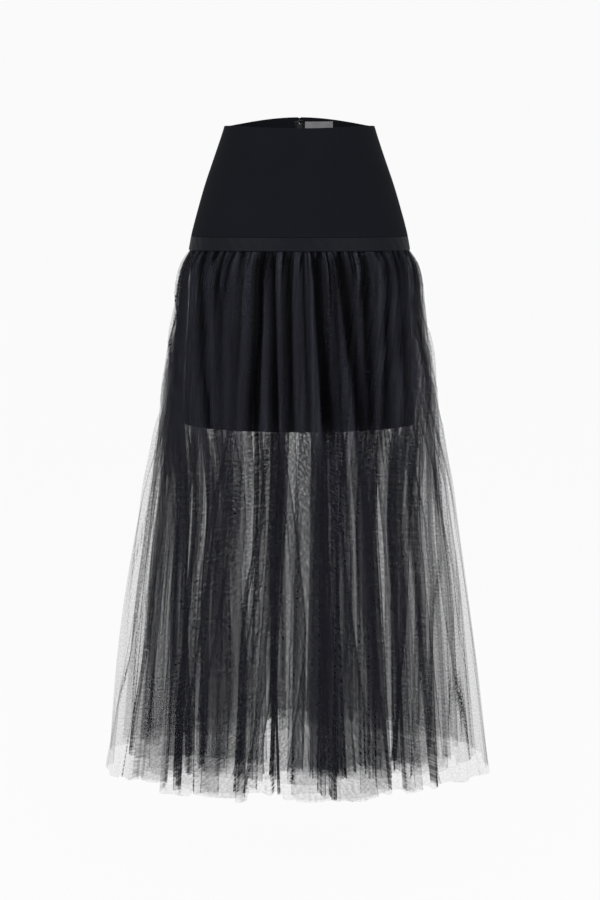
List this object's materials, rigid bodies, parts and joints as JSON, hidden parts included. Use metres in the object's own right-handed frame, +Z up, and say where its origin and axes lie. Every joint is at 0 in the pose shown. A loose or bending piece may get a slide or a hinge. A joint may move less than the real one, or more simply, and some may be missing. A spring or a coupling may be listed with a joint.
{
  "type": "tulle skirt",
  "caption": "Long black tulle skirt with a smooth hip yoke, a narrow band, gathered net layers and a short opaque lining, closed by a zip at the back.",
  "frame": {"origin": "centre of the waist, level with the waist's edge at the sides", "axes": "front faces -Y, +X is the right of the front view, +Z up to the waist; Z is the longest way and Y the shortest"},
  "size_m": [0.6085, 0.377, 0.992],
  "materials": {
    "yoke_cloth": "smooth matt crepe",
    "band_cloth": "fine ribbed satin",
    "lining_cloth": "soft satin",
    "net": "sheer net",
    "zip_tape": "woven",
    "black_metal": "gloss lacquer",
    "bright_metal": "polished",
    "label_cloth": "woven satin"
  },
  "bodies": {
    "skirt": {"yoke_front": "yoke_cloth", "yoke_back_right": "yoke_cloth", "yoke_back_left": "yoke_cloth", "hip_band_front": "band_cloth", "hip_band_back_right": "band_cloth", "hip_band_back_left": "band_cloth", "lining_front": "lining_cloth", "lining_back": "lining_cloth", "tulle_outer": "net", "tulle_middle": "net", "tulle_inner": "net", "zip_tape_right": "zip_tape", "zip_tape_left": "zip_tape", "zip_slider": "black_metal", "hook": "bright_metal", "eye": "bright_metal", "label": "label_cloth"},
    "pull_tab": {"zip_pull_tab": "black_metal"}
  },
  "joints": [
    {"name": "pull_tab_hinge", "type": "hinge", "parent": "skirt", "child": "pull_tab", "pos_m": [0, 0.09673, 0.00348], "axis": [1, 0, 0], "range_deg": [0, 150]}
  ]
}
